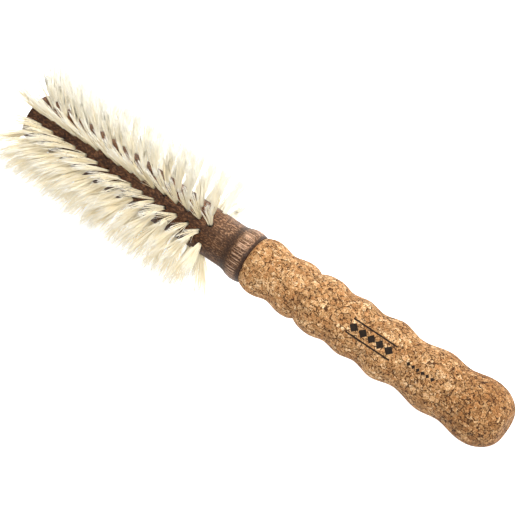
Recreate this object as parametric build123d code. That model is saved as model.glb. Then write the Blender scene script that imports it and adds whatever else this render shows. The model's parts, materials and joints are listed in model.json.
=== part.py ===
from build123d import *
import math
import os

# Round barrel brush for blow-drying hair: a turned wooden barrel with a neck, a bead and a
# tang, a contoured cork grip glued over the tang, and twelve rows of bristle tufts. Each tuft
# is folded over a flat metal anchor that is driven into a drilled hole and bites its wall.
#
# Millimetres. The brush is built along X, with x = 0 at the shoulder where wood meets cork,
# +X towards the tip and rows counted about X from +Z towards -Y. It is then laid down as it
# rests on a table: on the lowest tufts next to the neck and on the cork grip's last swell.

# Wood
barrel_length = 119.0          # shoulder to tip
barrel_radius = 10.4
tip_edge = 0.9                 # rounding round the tip's rim
neck_foot = 12.0               # where the straight neck ends and the cove begins
cove_top = (8.4, 11.02)        # x and radius where the cove meets the bead
bead_crest = (3.8, 11.98)
bead_foot = (0.6, 11.4)
joint_radius = 10.8            # bottom of the small groove between bead and cork
tang_radius = 6.0
tang_length = 95.0
tang_chamfer = 1.0

# Cork grip: x and radius of each swell and each dip, from the shoulder to the butt
cork_lip = (-1.6, 11.95)
cork_waves_before_notch = [(-5.8, 12.9), (-14.3, 11.36), (-23.0, 12.83)]
notch = (-28.5, 11.05)
cork_waves_after_notch = [
    (-37.2, 13.42), (-45.1, 12.0), (-53.1, 13.15), (-60.8, 11.93), (-70.6, 13.72),
    (-81.2, 11.7), (-95.2, 14.05), (-104.8, 12.85), (-117.6, 14.75),
]
butt_shoulder = (-126.8, 12.1)
cork_length = 131.0
butt_flat_radius = 7.0

# Bristle tufts
row_count = 12
row_start_angle = 15.0         # first row, from +Z towards -Y
tufts_in_long_row = 16         # long and short rows alternate
neck_tuft = 21.8               # x of a long row's tuft nearest the neck
tuft_pitch = 6.19              # a short row starts half a pitch further on
tip_lean = 26.0                # tufts stand square at the neck and soon lean towards the tip
hole_radius = 1.25
hole_depth = 4.5
straight_root = 0.6            # a tuft starts to spread this far above the wood
tuft_length = 19.0             # above the wood
tuft_tip_radius = 2.6

# Anchors
anchor_width = 3.0             # wider than the hole, so both ends bite the wood
anchor_thickness = 0.3
anchor_height = 1.7
fold_height = 0.6              # bristles folded under the anchor

hole_overrun = 3.0             # the drill starts this far outside the wood
first_tuft = neck_tuft
last_tuft = neck_tuft + (tufts_in_long_row - 1) * tuft_pitch


def wooden_body():
    """Barrel, neck, bead and tang, turned from one blank, before the tuft holes."""
    tip_rim = barrel_length - tip_edge
    arc_middle = tip_edge * math.cos(math.radians(45))
    with BuildPart() as body:
        with BuildSketch(Plane.XZ):
            with BuildLine():
                Polyline((-tang_length, 0), (barrel_length, 0), (barrel_length, barrel_radius - tip_edge))
                ThreePointArc(
                    (barrel_length, barrel_radius - tip_edge),
                    (tip_rim + arc_middle, barrel_radius - tip_edge + arc_middle),
                    (tip_rim, barrel_radius),
                )
                Line((tip_rim, barrel_radius), (neck_foot, barrel_radius))
                Spline((neck_foot, barrel_radius), cove_top, tangents=[(-1, 0), (-1, 0.45)])
                ThreePointArc(cove_top, bead_crest, bead_foot)
                Polyline(
                    bead_foot,
                    (0, joint_radius),
                    (0, tang_radius),
                    (tang_chamfer - tang_length, tang_radius),
                    (-tang_length, tang_radius - tang_chamfer),
                    (-tang_length, 0),
                )
            make_face()
        revolve(axis=Axis.X)
    return body.part


def cork_grip():
    """Contoured cork sleeve with a blind bore for the tang and a small flat at the butt."""
    waves = cork_waves_before_notch
    rest = cork_waves_after_notch
    level = (-1, 0)
    with BuildPart() as grip:
        with BuildSketch(Plane.XZ):
            with BuildLine():
                Polyline((-cork_length, 0), (-tang_length, 0), (-tang_length, tang_radius))
                Polyline((-tang_length, tang_radius), (0, tang_radius), (0, joint_radius))
                Spline((0, joint_radius), cork_lip, waves[0], tangents=[(-0.5, 1), level])
                Spline(*waves, tangents=[level] * len(waves))
                Spline(waves[-1], notch, tangents=[level, (-1, -0.95)])
                Spline(notch, rest[0], tangents=[(-1, 0.8), level])
                Spline(*rest, tangents=[level] * len(rest))
                Spline(
                    rest[-1],
                    butt_shoulder,
                    (-cork_length, butt_flat_radius),
                    tangents=[level, (-0.35, -1)],
                )
                Line((-cork_length, butt_flat_radius), (-cork_length, 0))
            make_face()
        revolve(axis=Axis.X)
    return grip.part


def tuft_places(row):
    """Where a row's tufts stand: on the +Z side of the barrel, leaning more towards the tip."""
    short = row % 2
    count = tufts_in_long_row - short
    start = first_tuft + short * tuft_pitch / 2
    places = []
    for number in range(count):
        along = start + number * tuft_pitch
        to_go = (last_tuft - along) / (last_tuft - first_tuft)
        lean = tip_lean * (1 - to_go**2)
        places.append(Pos(along, 0, barrel_radius) * Rot(0, lean, 0))
    return places


def anchor():
    """Flat metal plate across the hole, near its bottom."""
    middle = fold_height - hole_depth + anchor_height / 2
    return Pos(0, 0, middle) * Box(anchor_width, anchor_thickness, anchor_height)


def tuft():
    """Bundle of bristles: a straight root in the hole, then spreading to its tip."""
    with BuildPart() as bundle:
        with BuildSketch(Plane.XZ):
            with BuildLine():
                Polyline(
                    (0, -hole_depth),
                    (hole_radius, -hole_depth),
                    (hole_radius, straight_root),
                    (tuft_tip_radius, tuft_length),
                    (0, tuft_length),
                    close=True,
                )
            make_face()
        revolve(axis=Axis.Z)
    return bundle.part - anchor()


def tuft_hole():
    """The drilled hole, with the two pockets that the anchor's ends cut into its wall."""
    depth = hole_depth + hole_overrun
    drill = Pos(0, 0, hole_overrun - depth / 2) * Cylinder(hole_radius, depth)
    return drill + anchor()


def row_turn(row):
    """Turn about the barrel's axis that brings the +Z side round to this row."""
    return Rot(row_start_angle + row * 360 / row_count, 0, 0)


def row_of(solid, row):
    """A copy of the solid at each tuft's place in the row."""
    return [row_turn(row) * place * solid for place in tuft_places(row)]


# How the brush rests: the tufts next to the neck and the last swell reach down to the table
tuft_reach = (barrel_radius + tuft_length) * math.cos(math.radians(row_start_angle))
tuft_reach += tuft_tip_radius * math.sin(math.radians(row_start_angle))
last_swell = cork_waves_after_notch[-1]
rest_tilt = math.degrees(math.atan2(tuft_reach - last_swell[1], first_tuft - last_swell[0]))

one_tuft = tuft()
one_anchor = anchor()
one_hole = tuft_hole()
holes = []
nodes = {}
for row in range(row_count):
    nodes[f"bristle_row_{row + 1:02d}"] = row_of(one_tuft, row)
    nodes[f"anchor_row_{row + 1:02d}"] = row_of(one_anchor, row)
    holes += row_of(one_hole, row)
nodes["wooden_barrel"] = [wooden_body() - holes]
nodes["cork_grip"] = [cork_grip()]

tilted = {name: [Rot(0, -rest_tilt, 0) * solid for solid in solids] for name, solids in nodes.items()}
boxes = [solid.bounding_box() for name, solids in tilted.items() if "anchor" not in name for solid in solids]
low_x = min(box.min.X for box in boxes)
high_x = max(box.max.X for box in boxes)
low_y = min(box.min.Y for box in boxes)
high_y = max(box.max.Y for box in boxes)
low_z = min(box.min.Z for box in boxes)
to_rest = Pos(-(low_x + high_x) / 2, -(low_y + high_y) / 2, -low_z)

os.makedirs("parts", exist_ok=True)
for name, solids in tilted.items():
    placed = [to_rest * solid for solid in solids]
    piece = placed[0] if len(placed) == 1 else Compound(children=placed)
    export_step(piece, f"parts/{name}.step")

butt = to_rest * Rot(0, -rest_tilt, 0) * Pos(-cork_length, 0, 0)
shoulder = to_rest * Rot(0, -rest_tilt, 0)
print("rest tilt", round(rest_tilt, 3), "butt", butt.position, "shoulder", shoulder.position)
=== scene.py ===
import bpy
import json
import math
import random
from mathutils import Matrix, Vector


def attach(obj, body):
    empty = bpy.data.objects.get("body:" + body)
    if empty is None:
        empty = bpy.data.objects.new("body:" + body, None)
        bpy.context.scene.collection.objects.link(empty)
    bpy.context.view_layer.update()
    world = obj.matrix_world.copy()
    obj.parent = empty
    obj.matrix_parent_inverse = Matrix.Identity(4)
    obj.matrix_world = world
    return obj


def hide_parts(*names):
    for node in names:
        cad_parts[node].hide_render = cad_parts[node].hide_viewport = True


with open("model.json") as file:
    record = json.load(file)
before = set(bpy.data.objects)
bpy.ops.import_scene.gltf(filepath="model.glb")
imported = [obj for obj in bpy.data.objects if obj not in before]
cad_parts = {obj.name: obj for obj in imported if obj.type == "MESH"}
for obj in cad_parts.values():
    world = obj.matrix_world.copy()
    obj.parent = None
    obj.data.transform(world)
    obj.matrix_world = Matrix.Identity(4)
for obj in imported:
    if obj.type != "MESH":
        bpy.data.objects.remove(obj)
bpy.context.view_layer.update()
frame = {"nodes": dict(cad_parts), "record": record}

from types import SimpleNamespace

MM = 0.001

# ---------------------------------------------------------------- the brush's own axes
# ALONG points from the butt to the tip, and distances along it start at the shoulder, where
# wood meets cork. SIDE is the frame's Y. UP is square to both, and up as the brush lies.

butt = next(mount for mount in frame["record"]["mounts"] if mount["name"] == "butt_face")
BUTT = Vector(butt["pos_m"])
ALONG = -Vector(butt["axis"]).normalized()
SIDE = Vector((0, 1, 0))
UP = ALONG.cross(SIDE)
GRIP_LENGTH = max((v.co - BUTT).dot(ALONG) for v in frame["nodes"]["cork_grip"].data.vertices)
SHOULDER = BUTT + ALONG * GRIP_LENGTH
REST_TILT = math.atan2(ALONG.z, ALONG.x)

# ---------------------------------------------------------------- node helpers


def new_material(name):
    """A material with a Principled shader, and its node tree."""
    made = bpy.data.materials.new(name)
    made.use_nodes = True
    return made, made.node_tree


def connect(tree, node, inputs):
    """Sets a node's inputs, by name or index. An input is a value, or a socket to link from."""
    for name, value in inputs.items():
        if isinstance(value, bpy.types.NodeSocket):
            tree.links.new(value, node.inputs[name])
        else:
            node.inputs[name].default_value = value


def add(tree, kind, inputs=None, **settings):
    """Adds a shader node with these inputs and settings."""
    node = tree.nodes.new("ShaderNode" + kind)
    for name, value in settings.items():
        setattr(node, name, value)
    connect(tree, node, inputs or {})
    return node


def shader(tree, **inputs):
    """Sets the Principled shader's inputs. A word's underscores stand for spaces."""
    named = {name.replace("_", " "): value for name, value in inputs.items()}
    connect(tree, tree.nodes["Principled BSDF"], named)


def maths(tree, operation, first, second=0.0, third=0.0):
    """One number worked out from others."""
    node = add(tree, "Math", {0: first, 1: second, 2: third}, operation=operation)
    return node.outputs[0]


def times(tree, first, second):
    """The product of two numbers."""
    return maths(tree, "MULTIPLY", first, second)


def weighted_sum(tree, terms):
    """The sum of sockets times numbers."""
    total = 0.0
    for socket, weight in terms:
        total = maths(tree, "MULTIPLY_ADD", socket, weight, total)
    return total


def ramp(tree, value, low, high, at_low=0.0, at_high=1.0):
    """A smooth step from at_low, where value is low, to at_high, where it is high."""
    inputs = {"Value": value, "From Min": low, "From Max": high, "To Min": at_low, "To Max": at_high}
    return add(tree, "MapRange", inputs, interpolation_type="SMOOTHSTEP").outputs["Result"]


def below(tree, value, limit, edge):
    """1 where the value is under the limit, easing to 0 over an edge on both sides of it."""
    return maths(tree, "SUBTRACT", 1.0, ramp(tree, value, limit - edge, limit + edge))


def band(tree, value, start, full, ease, end):
    """1 between full and ease, fading to 0 at start and at end."""
    rising = ramp(tree, value, start, full)
    falling = maths(tree, "SUBTRACT", 1.0, ramp(tree, value, ease, end))
    return times(tree, rising, falling)


# A Mix node has sockets for numbers and vectors too. These are its factor and its colours.
MIX_FACTOR, MIX_FIRST, MIX_SECOND, MIX_RESULT = 0, 6, 7, 2


def blend(tree, factor, first, second, mode="MIX"):
    """Mixes two colours. The factor is a number or a socket, a colour is a tuple or a socket."""
    inputs = {MIX_FACTOR: factor}
    for index, colour in ((MIX_FIRST, first), (MIX_SECOND, second)):
        inputs[index] = (*colour, 1) if isinstance(colour, tuple) else colour
    return add(tree, "Mix", inputs, data_type="RGBA", blend_type=mode).outputs[MIX_RESULT]


def ramp_colour(tree, value, low, high, first, second):
    """A colour that goes from first to second as value goes from low to high."""
    return blend(tree, ramp(tree, value, low, high), first, second)


def stops_colour(tree, value, stops):
    """A colour read off a row of stops, each a position and a colour."""
    node = add(tree, "ValToRGB", {"Fac": value})
    elements = node.color_ramp.elements
    while len(elements) < len(stops):
        elements.new(0.5)
    for element, (position, colour) in zip(elements, stops):
        element.position = position
        element.color = (*colour, 1)
    return node.outputs[0]


def brush_coordinates(tree):
    """Metres along the brush's own axes, from the shoulder."""
    position = add(tree, "TexCoord").outputs["Object"]
    inputs = {"Vector": position, "Location": SHOULDER, "Rotation": (0, -REST_TILT, 0)}
    return add(tree, "Mapping", inputs, vector_type="TEXTURE").outputs[0]


def split(tree, vector):
    """The three numbers of a vector."""
    return add(tree, "SeparateXYZ", {"Vector": vector}).outputs


def stretched(tree, vector, scale):
    """The coordinates with each axis scaled."""
    return add(tree, "Mapping", {"Vector": vector, "Scale": scale}).outputs[0]


def lengthways(tree, vector, share):
    """The coordinates with a share of their length along the brush, which draws out grain."""
    return stretched(tree, vector, (share, 1.0, 1.0))


def wobbled(tree, vector, scale, distance):
    """The coordinates pushed about by noise, so that outlines drawn with them are ragged."""
    noise = add(tree, "TexNoise", {"Vector": vector, "Scale": scale, "Detail": 3.0}).outputs[1]
    shift = add(tree, "VectorMath", {0: noise, 1: (0.5, 0.5, 0.5)}, operation="SUBTRACT").outputs[0]
    shift = add(tree, "VectorMath", {0: shift, "Scale": distance}, operation="SCALE").outputs[0]
    return add(tree, "VectorMath", {0: vector, 1: shift}, operation="ADD").outputs[0]


def grain(tree, vector, scale, detail, roughness=0.6, distortion=0.0):
    """Fractal noise from 0 to 1."""
    inputs = {"Vector": vector, "Scale": scale, "Detail": detail}
    inputs.update({"Roughness": roughness, "Distortion": distortion})
    return add(tree, "TexNoise", inputs).outputs[0]


def bump(tree, height, distance, strength=1.0):
    """Surface relief: height from 0 to 1 over the given distance in metres."""
    inputs = {"Height": height, "Distance": distance, "Strength": strength}
    return add(tree, "Bump", inputs).outputs[0]


# ---------------------------------------------------------------- cork

# Granules of three sizes: how each axis is scaled, and about how many there are to a metre
COARSE = ((0.75, 1.2, 1.15), 410.0)
MEDIUM = ((1.45, 0.75, 0.9), 900.0)
SMALL = ((0.75, 1.4, 1.1), 1800.0)

CORK_TONES = (
    (0.0, (0.215, 0.098, 0.034)), (0.25, (0.335, 0.168, 0.064)), (0.5, (0.450, 0.247, 0.103)),
    (0.76, (0.590, 0.368, 0.180)), (1.0, (0.800, 0.590, 0.360)),
)
RUSTY = (0.400, 0.165, 0.055)
GREYED = (0.230, 0.125, 0.052)
SEAM = (0.045, 0.016, 0.005)
PIT = (0.035, 0.012, 0.004)
# The multiplier of the painted shade at the butt end
PAINTED_BUTT_SHADE = (0.76, 0.70, 0.63)
INK = (0.011, 0.007, 0.005)

# Seams show more towards the butt: where that starts and is full, and by how much
MORE_SEAMS_START = -15 * MM
MORE_SEAMS_FULL = -60 * MM
MORE_SEAMS = 0.035

# Pits in four shapes: how each axis is scaled, and the noise value above which they show
PIT_SHAPES = (
    ((0.8, 2.1, 2.1), 0.640), ((2.1, 0.8, 1.3), 0.645), ((0.9, 2.2, 1.2), 0.674),
    ((0.5, 0.5, 0.6), 0.722),
)
PIT_EDGE = 0.025

# Painted shade darkens the butt end of the grip, from and to these shares of the grip's length
BUTT_SHADE_START = 0.66
BUTT_SHADE_FULL = 0.88


def cork_material():
    """Pressed cork granules in tans and rusty browns, with dark seams and pits, an ornament and painted
    shade that darkens the butt end.
    """
    made, tree = new_material("agglomerated_cork")
    where = brush_coordinates(tree)
    along = split(tree, where)[0]
    warped = wobbled(tree, where, 520.0, 1.6 * MM)
    coarse, medium, small = [granules(tree, warped, size) for size in (COARSE, MEDIUM, SMALL)]
    fine = grain(tree, where, 2300.0, 3.0, 0.65)

    cloud = ramp(tree, grain(tree, where, 150.0, 2.0, 0.5), 0.30, 0.70)
    mottle = ramp(tree, fine, 0.34, 0.66)
    tone_value = weighted_sum(tree, [
        (coarse[0], 0.25), (medium[0], 0.23), (small[0], 0.22), (mottle, 0.18), (cloud, 0.12),
    ])
    tone = stops_colour(tree, ramp(tree, tone_value, 0.16, 0.90), CORK_TONES)
    tone = blend(tree, times(tree, ramp(tree, medium[1], 0.64, 0.74), 0.36), tone, RUSTY)
    tone = blend(tree, times(tree, ramp(tree, coarse[1], 0.76, 0.84), 0.42), tone, GREYED)

    seams = cork_seams(tree, where, warped, along)
    tone = blend(tree, times(tree, seams, 0.93), tone, SEAM)
    pits = cork_pits(tree, warped)
    tone = blend(tree, times(tree, pits, 0.90), tone, PIT)
    # Painted shade: the cork's colour is darkened towards the butt end
    painted_butt_shade = ramp(tree, along, -BUTT_SHADE_START * GRIP_LENGTH, -BUTT_SHADE_FULL * GRIP_LENGTH)
    tone = blend(tree, painted_butt_shade, tone, PAINTED_BUTT_SHADE, "MULTIPLY")
    tone = blend(tree, times(tree, ornament(tree, where), 0.985), tone, INK)

    height = weighted_sum(tree, [
        (fine, 0.40), (small[0], 0.15), (medium[0], 0.15), (seams, -0.50), (pits, -0.70),
    ])
    shader(
        tree,
        Base_Color=tone,
        Roughness=ramp(tree, fine, 0.3, 0.7, 0.72, 0.92),
        Specular_IOR_Level=0.14,
        Normal=bump(tree, height, 0.32 * MM),
    )
    return made


def granules(tree, vector, size):
    """Three random numbers for each granule."""
    squeeze, scale = size
    inputs = {"Vector": stretched(tree, vector, squeeze), "Scale": scale}
    colour = add(tree, "TexVoronoi", inputs).outputs["Color"]
    return add(tree, "SeparateColor", {"Color": colour}).outputs


def seam_distance(tree, vector, size):
    """How far it is to the nearest seam between granules."""
    squeeze, scale = size
    inputs = {"Vector": stretched(tree, vector, squeeze), "Scale": scale}
    return add(tree, "TexVoronoi", inputs, feature="DISTANCE_TO_EDGE").outputs[0]


def cork_seams(tree, where, warped, along):
    """Broken seams between the coarse granules, and fainter, finer ones between the medium."""
    more = ramp(tree, along, MORE_SEAMS_START, MORE_SEAMS_FULL, 0.0, MORE_SEAMS)
    broken = maths(tree, "ADD", more, grain(tree, where, 600.0, 2.0, 0.5, 0.8))
    wide = below(tree, seam_distance(tree, warped, COARSE), 0.066, 0.020)
    wide = times(tree, wide, ramp(tree, broken, 0.525, 0.555))
    patchy = maths(tree, "ADD", more, grain(tree, where, 800.0, 2.0))
    faint = below(tree, seam_distance(tree, warped, MEDIUM), 0.100, 0.032)
    faint = times(tree, faint, ramp(tree, patchy, 0.575, 0.61))
    return maths(tree, "MAXIMUM", wide, times(tree, faint, 0.75))


def cork_pits(tree, warped):
    """Small dark pits and flecks."""
    pits = 0.0
    for squeeze, threshold in PIT_SHAPES:
        spots = grain(tree, stretched(tree, warped, squeeze), 900.0, 2.0, 0.5, 0.6)
        pits = maths(tree, "MAXIMUM", pits, ramp(tree, spots, threshold, threshold + PIT_EDGE))
    return pits


# The printed ornament: where it lies along the grip, and the half sizes of its plain marks
INK_EDGE = 0.09 * MM
BAND_START = -54.0 * MM
BAND_END = -76.5 * MM
BAND_LOZENGES = 5
HALF_LOZENGE = (2.15 * MM, 2.2 * MM)
LINE_AWAY = 3.3 * MM
HALF_LINE = 0.375 * MM
DOTS_START = -83.0 * MM
DOTS_END = -98.0 * MM
DOTS = 6
HALF_DOT = (1.0 * MM, 1.0 * MM)


def ornament(tree, where):
    """A plain printed ornament on the top of the grip: lozenges between two lines, then dots."""
    parts = split(tree, where)
    along, side = parts[0], maths(tree, "ABSOLUTE", parts[1])
    lozenges = mark_row(tree, along, side, (BAND_START, BAND_END, BAND_LOZENGES), HALF_LOZENGE)
    off_line = maths(tree, "ABSOLUTE", maths(tree, "SUBTRACT", side, LINE_AWAY))
    lines = below(tree, off_line, HALF_LINE, INK_EDGE)
    lines = times(tree, lines, within(tree, along, BAND_START, BAND_END))
    dots = mark_row(tree, along, side, (DOTS_START, DOTS_END, DOTS), HALF_DOT)
    marks = maths(tree, "MAXIMUM", lozenges, maths(tree, "MAXIMUM", lines, dots))
    top_only = ramp(tree, parts[2], 0.0, 1.0 * MM)
    return times(tree, marks, top_only)


def mark_row(tree, along, side, row, half_size):
    """Evenly spaced lozenges. The row is its start, its end and its count."""
    start, end, count = row
    half_length, half_width = half_size
    pitch = (start - end) / count
    from_start = maths(tree, "SUBTRACT", along, start - pitch / 2)
    from_middle = maths(tree, "PINGPONG", from_start, pitch / 2)
    reached = maths(tree, "MULTIPLY_ADD", side, half_length / half_width, from_middle)
    return times(tree, below(tree, reached, half_length, INK_EDGE), within(tree, along, start, end))


def within(tree, along, start, end):
    """1 between the start and the end."""
    off_middle = maths(tree, "ABSOLUTE", maths(tree, "SUBTRACT", along, (start + end) / 2))
    return below(tree, off_middle, (start - end) / 2, INK_EDGE)


# ---------------------------------------------------------------- wood

STAIN_DARK = (0.030, 0.0120, 0.0048)
STAIN_LIGHT = (0.080, 0.036, 0.0155)
# Painted light: the lighter colour of the -Y side, which faces the key light
PAINTED_LIGHT_WOOD = (0.190, 0.100, 0.052)
SPECK = (0.330, 0.180, 0.096)
PORE = (0.018, 0.007, 0.003)
BARE_WOOD = (0.520, 0.325, 0.205)
GROOVE_SHADE = (0.020, 0.009, 0.005)
BARREL_SHADE = (0.70, 0.60, 0.52)

# Bands along the brush, from the shoulder: start, full, ease and end
BEAD_CREST = (1.6 * MM, 3.0 * MM, 5.6 * MM, 7.6 * MM)
COVE = (7.2 * MM, 8.6 * MM, 9.8 * MM, 12.5 * MM)
JOINT = (-1.0 * MM, 0.0, 0.9 * MM, 1.9 * MM)


def wood_material():
    """Dark stained wood: lengthways grain, specks and pores, worn to bare wood on the bead, with painted
    light that lightens the -Y side, where the key light falls.
    """
    made, tree = new_material("stained_wood")
    where = brush_coordinates(tree)
    along, side, _ = split(tree, where)
    # Painted light: rises to 1 on the -Y side of the wood, which faces the key light
    painted_light_side = ramp(tree, side, 2.0 * MM, -9.0 * MM)
    streaks = grain(tree, lengthways(tree, where, 0.14), 620.0, 5.0, 0.65)
    pores = grain(tree, lengthways(tree, where, 0.30), 1900.0, 3.0, 0.6)
    pores = ramp(tree, pores, 0.53, 0.62)
    speckle = grain(tree, lengthways(tree, where, 0.50), 1800.0, 1.0, 0.5)
    speckle = ramp(tree, speckle, 0.50, 0.62)

    tone = ramp_colour(tree, streaks, 0.30, 0.72, STAIN_DARK, STAIN_LIGHT)
    # Painted light: the -Y side is lightened, and its specks show more there
    tone = blend(tree, times(tree, painted_light_side, 0.40), tone, PAINTED_LIGHT_WOOD)
    specks = times(tree, speckle, ramp(tree, painted_light_side, 0.0, 1.0, 0.40, 1.0))
    tone = blend(tree, specks, tone, SPECK)
    tone = blend(tree, times(tree, pores, 0.75), tone, PORE)

    # The bead's worn patches are real wear, shown stronger on the -Y side as painted light
    worn = times(tree, bead_wear(tree, where, along), ramp(tree, painted_light_side, 0.0, 1.0, 0.62, 0.95))
    tone = blend(tree, worn, tone, BARE_WOOD)
    cove = times(tree, band(tree, along, *COVE), 0.72)
    joint = times(tree, band(tree, along, *JOINT), 0.80)
    tone = blend(tree, maths(tree, "MAXIMUM", cove, joint), tone, GROOVE_SHADE)
    on_barrel = ramp(tree, along, 13.0 * MM, 26.0 * MM)
    tone = blend(tree, on_barrel, tone, BARREL_SHADE, "MULTIPLY")

    height = weighted_sum(tree, [(streaks, 0.35), (speckle, 0.25), (pores, -0.6)])
    shader(
        tree,
        Base_Color=tone,
        Roughness=ramp(tree, streaks, 0.3, 0.7, 0.42, 0.58),
        Specular_IOR_Level=0.17,
        Normal=bump(tree, height, 0.14 * MM, 0.9),
    )
    return made


def bead_wear(tree, where, along):
    """Where the bead's crest is rubbed bare, in patches and in scratches along the brush."""
    crest = band(tree, along, *BEAD_CREST)
    around = {0: stretched(tree, where, (0.0, 1.0, 1.0))}
    around = add(tree, "VectorMath", around, operation="NORMALIZE").outputs[0]
    scratches = ramp(tree, grain(tree, around, 24.0, 0.0), 0.50, 0.58)
    patches = grain(tree, lengthways(tree, where, 0.2), 500.0, 1.0)
    return times(tree, crest, times(tree, scratches, ramp(tree, patches, 0.28, 0.55)))


# ---------------------------------------------------------------- bristle and wire

BRISTLE_TONES = (
    (0.0, (0.64, 0.48, 0.27)), (0.19, (0.90, 0.79, 0.56)), (0.42, (0.975, 0.92, 0.765)),
    (0.75, (0.985, 0.95, 0.825)), (1.0, (0.99, 0.97, 0.89)),
)
HONEY = (0.88, 0.745, 0.455)
ROOT = (0.93, 0.81, 0.55)
TIP = (0.750, 0.733, 0.670)
# Painted light: the paler tip colour of rows that point to +Y, away from the key light
PAINTED_LIGHT_TIP = (0.805, 0.792, 0.738)
WIRE_DARK = (0.42, 0.42, 0.41)
WIRE_LIGHT = (0.66, 0.66, 0.64)


def bristle_material():
    """Pale natural bristle: honey at the root, cream along the shaft, ivory at the tip.
    Each point's strand values are its bristle's tint, its height, its tuft's tint and how far
    its row points to +Y, where the tips are painted paler: painted light on the side away from the key
    light."""
    made, tree = new_material("natural_bristle")
    strand = add(tree, "Attribute", attribute_name="strand")
    parts = add(tree, "SeparateColor", {"Color": strand.outputs["Color"]}).outputs
    tint, height, tuft_tint, plus_y = parts[0], parts[1], parts[2], strand.outputs["Alpha"]

    tone = stops_colour(tree, tint, BRISTLE_TONES)
    tone = blend(tree, times(tree, tuft_tint, 0.46), tone, HONEY)
    tone = blend(tree, ramp(tree, height, 0.04, 0.30, 0.24, 0.0), tone, ROOT)
    # Painted light: on rows that point to +Y the tips are painted paler, and their tip colour starts further
    # out
    tip_start = maths(tree, "MULTIPLY_ADD", plus_y, 0.12, 0.56)
    near_tip = ramp(tree, height, tip_start, 1.0, 0.0, 0.84)
    tone = blend(tree, near_tip, tone, blend(tree, plus_y, TIP, PAINTED_LIGHT_TIP))
    cloud = grain(tree, add(tree, "TexCoord").outputs["Object"], 2600.0, 3.0, 0.6)
    mottle = ramp_colour(tree, cloud, 0.3, 0.7, (0.44, 0.43, 0.40), (0.60, 0.60, 0.60))
    tone = blend(tree, 0.25, tone, mottle, "SOFT_LIGHT")
    shader(
        tree,
        Base_Color=tone,
        Roughness=ramp(tree, cloud, 0.3, 0.7, 0.38, 0.54),
        Specular_IOR_Level=0.4,
        Normal=bump(tree, cloud, 0.03 * MM, 0.5),
    )
    return made


def anchor_material():
    """Drawn flat wire: dull steel with fine lines along it."""
    made, tree = new_material("anchor_wire")
    where = add(tree, "TexCoord").outputs["Object"]
    lines = grain(tree, lengthways(tree, where, 0.1), 9000.0, 3.0, 0.5)
    shader(
        tree,
        Base_Color=ramp_colour(tree, lines, 0.3, 0.7, WIRE_DARK, WIRE_LIGHT),
        Metallic=1.0,
        Roughness=ramp(tree, lines, 0.3, 0.7, 0.3, 0.45),
        Normal=bump(tree, lines, 0.01 * MM, 0.5),
    )
    return made


# ---------------------------------------------------------------- bristles

# The rows as they stand in the CAD model
ROWS = 12
LONG_ROW_TUFTS = 16
ROW_START = math.radians(15)
FIRST_TUFT = 21.8 * MM
TUFT_PITCH = 6.19 * MM
TIP_LEAN = math.radians(26)
BARREL_RADIUS = 10.4 * MM
HOLE_RADIUS = 1.25 * MM
TUFT_LENGTH = 19.0 * MM

# One bristle
BRISTLE_RADIUS = 0.14 * MM
TAPER = 0.62
SUNK = 1.2 * MM                    # how deep its root goes in the hole
STATIONS = (0.0, 0.09, 0.34, 0.62, 0.86, 1.0)  # where its rings are, from root to tip
SIDES = 3
STOUTNESS = (0.8, 1.2)
FLOOR_GAP = 0.15 * MM
FLOOR_GAP_VARIES = 0.1 * MM

# One tuft: locks of bristles. A pair of bare numbers is a range.
SEED = 1000
LOCKS = 12
BRISTLES_IN_LOCK = 5
TUFT_SPREAD = 3.0 * MM
SPREAD_VARIES = (0.85, 1.2)
WIDENING = 0.45                    # how much wider a tuft is on the +Y side, or at the tip
TUFT_SWAY = (0.5 * MM, 1.0 * MM)   # forward and across
LOCK_LENGTH = (0.90, 1.04)         # of the tuft's length
LOCK_SHIFT = 0.6 * MM
LOCK_SPREAD = 0.55 * MM
LOCK_CURL = 0.5 * MM
OWN_ROOT = 0.3 * MM                # a bristle's own place in its lock
OWN_CURL = 0.25 * MM
STRAY_LENGTH = (0.7, 1.0)          # of the length it would have
STRAY_SPREAD = 3.0 * MM
LOCK_TINT_SHARE = 0.68             # how much of a bristle's tint it shares with its lock

# How use has bent the tufts
FORWARD = math.radians(4)          # the rows on the -Y side
TOP_FORWARD = math.radians(13)     # the top rows, towards the tip
END_FORWARD = math.radians(7)      # the top rows' last tufts
BACK = math.radians(8)             # the rows on the +Y side, towards the neck
UNEVEN = 2.5                       # degrees
UNEVEN_AT_NECK = 6                 # more degrees, on the +Y side
PARTING = 2.2 * MM                 # the top rows lie apart, the +Y one pushed over by this
UPRIGHT = 0.9                      # a row is beside the parting if it points up more than this


def tuft_frames(row):
    """Each tuft's origin, the way out of the wood, the way across the row, lean and share."""
    angle = ROW_START + row * math.tau / ROWS
    out = UP * math.cos(angle) - SIDE * math.sin(angle)
    across = out.cross(ALONG)
    short = row % 2
    frames = []
    for number in range(LONG_ROW_TUFTS - short):
        share = (number + short / 2) / (LONG_ROW_TUFTS - 1)
        lean = TIP_LEAN * (1 - (1 - share) ** 2)
        along = FIRST_TUFT + (number + short / 2) * TUFT_PITCH
        origin = SHOULDER + ALONG * along + out * BARREL_RADIUS
        frames.append((origin, out, across, lean, share))
    return frames


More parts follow.
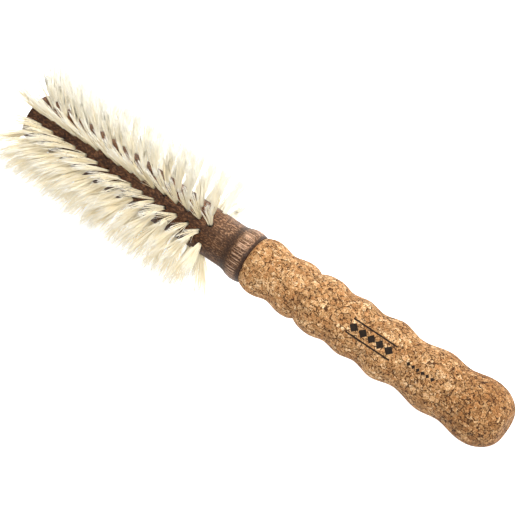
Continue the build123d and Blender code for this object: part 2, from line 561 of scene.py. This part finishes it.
def row_habit(row):
    """How a row's tufts grow. minus_y and plus_y are 1 for a row that points straight that way,
    and top is 1 for one that points straight up. The tufts on the +Y side are the more worn."""
    angle = ROW_START + row * math.tau / ROWS
    side, up = math.sin(angle), math.cos(angle)
    minus_y, plus_y, top = max(side, 0.0), max(-side, 0.0), max(up, 0.0) ** 4
    on_plus_y = side < 0
    at_parting = on_plus_y and up > UPRIGHT
    locks, in_lock = LOCKS, BRISTLES_IN_LOCK
    if at_parting:
        locks = LOCKS - 4
    elif on_plus_y:
        locks, in_lock = LOCKS + 10, BRISTLES_IN_LOCK - 2
    return SimpleNamespace(
        minus_y=minus_y,
        plus_y=plus_y,
        top=top,
        locks=locks,
        in_lock=in_lock,
        slim=1 - (0.30 if on_plus_y else 0.10) * top - 0.08 * plus_y,
        reach=1 + 0.10 * plus_y + 0.04 * minus_y,
        shortest=0.82 - 0.10 * plus_y,
        longest=1.0 + 0.04 * plus_y,
        root_spread=0.58 if at_parting else 0.72,
        lock_spread=LOCK_SPREAD * (1 - 0.35 * top + 1.2 * plus_y + 0.7 * minus_y ** 2),
        flare=1.05 + 0.35 * on_plus_y * top + 0.35 * minus_y,
        sway_across=TUFT_SWAY[1] * (1.1 - max(up, 0.0)),
        parting=PARTING * top if on_plus_y else 0.0,
        stray_chance=0.05 + 0.05 * top,
        tuft_tint=0.62 * top + 0.78 * plus_y,
        tint_scatter=1 - 0.5 * minus_y,
        tint_power=1 - 0.65 * minus_y,
    )


def worn_lean(rng, habit, share):
    """How far use has bent a tuft from its hole's line: forward on one side, back on the other."""
    forward = FORWARD * habit.minus_y + TOP_FORWARD * habit.top * share ** 1.5
    forward += END_FORWARD * habit.top * share ** 12
    back = BACK * habit.plus_y * (1 - share)
    uneven = math.radians(UNEVEN + UNEVEN_AT_NECK * habit.plus_y * (1 - share) ** 3)
    return forward - back + rng.gauss(0, uneven)


def disc_point(rng, radius):
    """An even random point in a disc."""
    distance = radius * math.sqrt(rng.random())
    angle = rng.uniform(0, math.tau)
    return Vector((distance * math.cos(angle), distance * math.sin(angle)))


def bristle_path(rng, basis, root, tip, length, curl, flare):
    """Points along one bristle, from inside its hole to its tip, kept off the floor."""
    origin, forward, across, axis = basis
    points = []
    for station in STATIONS:
        climb = station * (length + SUNK) - SUNK
        share = max(0.0, climb / length)
        spread = share ** flare
        offset = root * (1 - spread) + tip * spread + curl * math.sin(math.pi * share)
        point = origin + axis * climb + forward * offset.x + across * offset.y
        sink = FLOOR_GAP - point.z
        if sink > 0:
            point.z = FLOOR_GAP + FLOOR_GAP_VARIES * rng.random()
            point.y += math.copysign(sink, point.y)
        points.append(point)
    return points


def grow_tuft(rng, mesh_data, tuft_frame, habit):
    """One tuft: locks of bristles that fan out from the hole."""
    origin, out, across, lean, share = tuft_frame
    lean += worn_lean(rng, habit, share)
    axis = out * math.cos(lean) + ALONG * math.sin(lean)
    forward = ALONG * math.cos(lean) - out * math.sin(lean)
    basis = (origin, forward, across, axis)

    wider = 1 + WIDENING * max(habit.plus_y, share * (1 - habit.top))
    spread = TUFT_SPREAD * rng.uniform(*SPREAD_VARIES) * wider
    tuft_tint = min(1.0, rng.random() ** 2 * habit.tint_scatter + habit.tuft_tint)
    sway = Vector((rng.gauss(0, TUFT_SWAY[0]), rng.gauss(0, habit.sway_across)))
    sway.y += habit.parting
    for _ in range(habit.locks):
        middle = disc_point(rng, 1.0)
        lock_root = middle * HOLE_RADIUS * habit.root_spread
        lock_tip = middle * spread + sway + disc_point(rng, LOCK_SHIFT)
        lock_length = TUFT_LENGTH * habit.reach * rng.uniform(*LOCK_LENGTH)
        lock_curl = disc_point(rng, LOCK_CURL)
        lock_tint = rng.random()
        for _ in range(habit.in_lock):
            own = disc_point(rng, 1.0)
            root = lock_root + own * OWN_ROOT
            tip = lock_tip + own * habit.lock_spread
            length = lock_length * rng.uniform(habit.shortest, habit.longest)
            if rng.random() < habit.stray_chance:
                length *= rng.uniform(*STRAY_LENGTH)
                tip += disc_point(rng, STRAY_SPREAD)
            curl = lock_curl + own * OWN_CURL
            points = bristle_path(rng, basis, root, tip, length, curl, habit.flare)
            tint = LOCK_TINT_SHARE * lock_tint + (1 - LOCK_TINT_SHARE) * rng.random()
            strand = (tint ** habit.tint_power, tuft_tint, habit.plus_y)
            add_bristle(mesh_data, points, habit.slim * rng.uniform(*STOUTNESS), strand)


def add_bristle(mesh_data, points, stoutness, strand):
    """A tapering closed tube along the points, with its strand values at each."""
    vertices, faces, strands = mesh_data
    tint, tuft_tint, plus_y = strand
    start = len(vertices)
    last = len(points) - 1
    for number, point in enumerate(points):
        ahead = points[min(number + 1, last)] - points[max(number - 1, 0)]
        first = ahead.orthogonal().normalized()
        second = ahead.cross(first).normalized()
        radius = BRISTLE_RADIUS * stoutness * (1 - TAPER * STATIONS[number] ** 2)
        for side in range(SIDES):
            angle = side * math.tau / SIDES
            vertices.append(point + first * (radius * math.cos(angle)) + second * (radius * math.sin(angle)))
            strands.append((tint, STATIONS[number], tuft_tint, plus_y))
    for number in range(last):
        low = start + number * SIDES
        for side in range(SIDES):
            beside = (side + 1) % SIDES
            faces.append((low + side, low + beside, low + SIDES + beside, low + SIDES + side))
    faces.append(tuple(start + side for side in reversed(range(SIDES))))
    faces.append(tuple(start + last * SIDES + side for side in range(SIDES)))


def bristle_row(row, material):
    """All the bristles of one row, as one piece that stands for the CAD row."""
    rng = random.Random(SEED + row)
    habit = row_habit(row)
    vertices, faces, strands = [], [], []
    for tuft_frame in tuft_frames(row):
        grow_tuft(rng, (vertices, faces, strands), tuft_frame, habit)
    mesh = bpy.data.meshes.new(f"bristles_{row + 1:02d}")
    mesh.from_pydata(vertices, [], faces)
    mesh.polygons.foreach_set("use_smooth", [True] * len(mesh.polygons))
    values = mesh.color_attributes.new("strand", "FLOAT_COLOR", "POINT")
    values.data.foreach_set("color", [number for strand in strands for number in strand])
    mesh.materials.append(material)
    piece = bpy.data.objects.new(f"bristles_{row + 1:02d}", mesh)
    bpy.context.scene.collection.objects.link(piece)
    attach(piece, "root")
    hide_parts(f"bristle_row_{row + 1:02d}")


def give(node, material):
    """Gives a CAD node its finished material."""
    piece = frame["nodes"][node]
    piece.data.materials.clear()
    piece.data.materials.append(material)


# ---------------------------------------------------------------- studio

VIEW_SLANT = math.radians(16.1)     # the brush's axis is this far out of the picture's plane
PICTURE_ANGLE = math.radians(33.7)  # and runs this far below the level, tip to handle
CAMERA_DISTANCE = 1.40
FOCAL_LENGTH = 226.0
SENSOR = 36.0
CLIPPING = (0.01, 50)
SHOULDER_OFFSET = (3.13 * MM, -0.18 * MM)  # picture centre from the shoulder, right and up

FLOOR_HALF = 6.0
FLOOR_PALE = (0.93, 0.93, 0.925, 1)
FLOOR_GLOW = 0.64
WHITE = (1, 1, 1, 1)
SURROUND = 0.75                     # strength overhead, where it is 1 at the horizon
SURROUND_FADE = (0.10, 0.45)        # heights between which it changes

KEY_TOWARDS = Vector((-0.1, -0.8, 0.62))
KEY_DISTANCE = 1.1
KEY_SIZE = 0.7
KEY_POWER = 10.0
FILL_SHIFT = Vector((0.0, -0.15, 0.0))  # from the camera's direction
FILL_DISTANCE = 1.3
FILL_SIZE = 0.5
FILL_POWER = 13.7


def picture_axes():
    """The picture's right and up, and the way back to the camera."""
    tilt = VIEW_SLANT + REST_TILT
    back = Vector((-math.sin(tilt), 0, math.cos(tilt)))
    drawn = (ALONG - back * ALONG.dot(back)).normalized()
    sideways = drawn.cross(back)
    right = sideways * math.sin(PICTURE_ANGLE) - drawn * math.cos(PICTURE_ANGLE)
    up = drawn * math.sin(PICTURE_ANGLE) + sideways * math.cos(PICTURE_ANGLE)
    return right, up, back


def add_camera():
    """The camera, above the brush and turned so that its tip is at the upper left."""
    right, up, back = picture_axes()
    data = bpy.data.cameras.new("camera")
    data.lens = FOCAL_LENGTH
    data.sensor_width = SENSOR
    data.clip_start, data.clip_end = CLIPPING
    camera = bpy.data.objects.new("camera", data)
    where = SHOULDER + back * CAMERA_DISTANCE + right * SHOULDER_OFFSET[0] + up * SHOULDER_OFFSET[1]
    turn = Matrix((right, up, back)).transposed().to_4x4()
    camera.matrix_world = Matrix.Translation(where) @ turn
    bpy.context.scene.collection.objects.link(camera)
    bpy.context.scene.camera = camera


def add_area_light(name, towards, distance, size, energy):
    """A square soft light that faces the shoulder of the brush."""
    data = bpy.data.lights.new(name, "AREA")
    data.energy = energy
    data.size = size
    light = bpy.data.objects.new(name, data)
    way = towards.normalized()
    light.location = SHOULDER + way * distance
    light.rotation_mode = "QUATERNION"
    light.rotation_quaternion = way.to_track_quat("Z", "Y")
    bpy.context.scene.collection.objects.link(light)


def add_surround():
    """A white surround, a little dimmer overhead."""
    world = bpy.data.worlds.new("studio")
    world.use_nodes = True
    tree = world.node_tree
    background = tree.nodes["Background"]
    background.inputs["Color"].default_value = WHITE
    height = split(tree, add(tree, "TexCoord").outputs["Generated"])[2]
    strength = ramp(tree, height, *SURROUND_FADE, 1.0, SURROUND)
    tree.links.new(strength, background.inputs["Strength"])
    bpy.context.scene.world = world


def floor_material():
    """Plain pale studio floor, lit a little from below as a light table is."""
    made, tree = new_material("studio_floor")
    shader(
        tree,
        Base_Color=FLOOR_PALE,
        Roughness=0.9,
        Specular_IOR_Level=0.1,
        Emission_Color=WHITE,
        Emission_Strength=FLOOR_GLOW,
    )
    return made


def add_floor():
    """The floor that the brush lies on."""
    mesh = bpy.data.meshes.new("floor")
    half = FLOOR_HALF
    corners = [(-half, -half, 0), (half, -half, 0), (half, half, 0), (-half, half, 0)]
    mesh.from_pydata(corners, [], [(0, 1, 2, 3)])
    mesh.materials.append(floor_material())
    floor = bpy.data.objects.new("floor", mesh)
    bpy.context.scene.collection.objects.link(floor)


def add_studio():
    """Pale floor, a white surround and soft lights, the main one from the picture's upper right."""
    bpy.context.scene.view_settings.view_transform = "Standard"
    add_surround()
    add_floor()
    add_area_light("key", KEY_TOWARDS, KEY_DISTANCE, KEY_SIZE, KEY_POWER)
    add_area_light("fill", picture_axes()[2] + FILL_SHIFT, FILL_DISTANCE, FILL_SIZE, FILL_POWER)


# ---------------------------------------------------------------- the object

add_camera()
add_studio()

bristle = bristle_material()
for row_number in range(ROWS):
    bristle_row(row_number, bristle)

give("wooden_barrel", wood_material())
give("cork_grip", cork_material())
wire = anchor_material()
for row_number in range(ROWS):
    give(f"anchor_row_{row_number + 1:02d}", wire)
